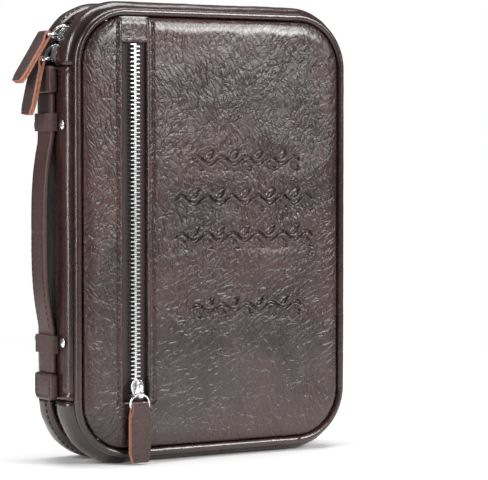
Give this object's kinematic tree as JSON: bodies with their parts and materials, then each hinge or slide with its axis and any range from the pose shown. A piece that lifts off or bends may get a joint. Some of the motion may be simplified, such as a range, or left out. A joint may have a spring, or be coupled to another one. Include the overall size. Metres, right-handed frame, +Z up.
{
  "type": "bible in zip-around case",
  "caption": "Leather zip-around Bible case with a slip handle and outside pocket, standing upright with its Bible inside; covers open flat.",
  "frame": {"origin": "bottom centre of the whole object's box, on the surface it stands on", "axes": "+Z up along the spine, +X from the spine to the opening edge, +Y from the front cover to the back cover"},
  "size_m": [0.2068, 0.059, 0.26],
  "materials": {
    "case_leather": "semi-gloss wrinkled leather",
    "strap_leather": "semi-gloss grained leather",
    "cut_leather": "matt grained leather with bare tan edges",
    "silver_metal": "polished",
    "zip_tape": "twill",
    "stiffener_board": "matt",
    "lining_cloth": "matt",
    "pocket_leather": "matt",
    "clear_film": "clear",
    "paper": "matt",
    "bible_leather": "fine grain",
    "ribbon_cloth": "satin"
  },
  "bodies": {
    "spine": {"spine_panel": "case_leather", "spine_lining": "lining_cloth", "front_gusset_upper_end": "case_leather", "front_gusset_lower_end": "case_leather", "back_gusset_upper_end": "case_leather", "back_gusset_lower_end": "case_leather", "zip_upper_end": "zip_tape", "zip_lower_end": "zip_tape", "keeper_upper": "cut_leather", "keeper_lower": "cut_leather", "rivet_upper_front": "silver_metal", "rivet_upper_back": "silver_metal", "rivet_lower_front": "silver_metal", "rivet_lower_back": "silver_metal", "bible_spine": "bible_leather", "upper_headband": "ribbon_cloth", "lower_headband": "ribbon_cloth", "first_ribbon_marker": "ribbon_cloth", "second_ribbon_marker": "ribbon_cloth"},
    "front_cover": {"front_panel": "case_leather", "front_side_panel": "case_leather", "pocket_top_block": "case_leather", "pocket_bottom_block": "case_leather", "front_piping": "case_leather", "front_gusset": "case_leather", "front_zip_half": "zip_tape", "front_stiffener": "stiffener_board", "front_lining": "lining_cloth", "front_sleeve": "pocket_leather", "pen_sleeves": "pocket_leather", "pocket_bag": "lining_cloth", "pocket_zip_left": "zip_tape", "pocket_zip_right": "zip_tape", "bible_front_board": "bible_leather", "bible_front_pages": "paper"},
    "back_cover": {"back_panel": "case_leather", "back_piping": "case_leather", "back_gusset": "case_leather", "back_zip_half": "zip_tape", "back_stiffener": "stiffener_board", "back_lining": "lining_cloth", "back_sleeve": "pocket_leather", "card_pockets": "pocket_leather", "clear_window": "clear_film", "bible_back_board": "bible_leather", "bible_back_pages": "paper"},
    "pocket_slider": {"pocket_slider": "silver_metal"},
    "pocket_pull": {"pocket_ring": "silver_metal", "pocket_pull": "cut_leather"},
    "lower_slider": {"lower_slider": "silver_metal"},
    "lower_pull": {"lower_ring": "silver_metal", "lower_pull": "cut_leather"},
    "upper_slider": {"upper_slider": "silver_metal"},
    "upper_pull": {"upper_ring": "silver_metal", "upper_pull": "cut_leather"},
    "handle": {"handle_grip": "strap_leather", "handle_strap_upper": "strap_leather", "handle_strap_lower": "strap_leather"},
    "stopper_upper": {"stopper_upper": "strap_leather"},
    "stopper_lower": {"stopper_lower": "strap_leather"}
  },
  "joints": [
    {"name": "front_cover_hinge", "type": "hinge", "parent": "spine", "child": "front_cover", "pos_m": [-0.07644, -0.01972, 0.13], "axis": [0, 0, -1], "range_deg": [0, 90]},
    {"name": "back_cover_hinge", "type": "hinge", "parent": "spine", "child": "back_cover", "pos_m": [-0.07644, 0.02567, 0.13], "axis": [0, 0, 1], "range_deg": [0, 90]},
    {"name": "pocket_slider_run", "type": "slide", "parent": "front_cover", "child": "pocket_slider", "axis": [0, 0, 1], "range_m": [0, 0.187]},
    {"name": "pocket_pull_swing", "type": "hinge", "parent": "pocket_slider", "child": "pocket_pull", "pos_m": [-0.04174, -0.02722, 0.0394], "axis": [-1, 0, 0], "range_deg": [0, 150]},
    {"name": "lower_slider_run", "type": "hinge", "parent": "spine", "child": "lower_slider", "pos_m": [-0.04634, 0.00298, 0.2237], "axis": [0, 1, 0], "range_deg": [0, 20]},
    {"name": "upper_slider_run", "type": "hinge", "parent": "lower_slider", "child": "upper_slider", "pos_m": [-0.04634, 0.00298, 0.2237], "axis": [0, 1, 0], "range_deg": [0, 25]},
    {"name": "lower_pull_swing", "type": "hinge", "parent": "lower_slider", "child": "lower_pull", "pos_m": [-0.08261, 0.00298, 0.22826], "axis": [0, 1, 0], "range_deg": [0, 85]},
    {"name": "upper_pull_swing", "type": "hinge", "parent": "upper_slider", "child": "upper_pull", "pos_m": [-0.07856, 0.00298, 0.24096], "axis": [0, 1, 0], "range_deg": [0, 85]},
    {"name": "handle_lift", "type": "slide", "parent": "spine", "child": "handle", "axis": [-1, 0, 0], "range_m": [0, 0.026]},
    {"name": "stopper_upper_run", "type": "slide", "parent": "handle", "child": "stopper_upper", "axis": [0.921, 0, -0.3896], "range_m": [0, 0.02824], "deforming": ["handle_strap_upper"]},
    {"name": "stopper_lower_run", "type": "slide", "parent": "handle", "child": "stopper_lower", "axis": [0.921, 0, 0.3896], "range_m": [0, 0.02824], "deforming": ["handle_strap_lower"]}
  ],
  "couplings": [
    {"joint": "stopper_upper_run", "follows": "handle_lift", "ratio": 1.0858},
    {"joint": "stopper_lower_run", "follows": "handle_lift", "ratio": 1.0858},
    {"joint": "upper_pull_swing", "follows": "lower_pull_swing", "ratio": 1}
  ]
}
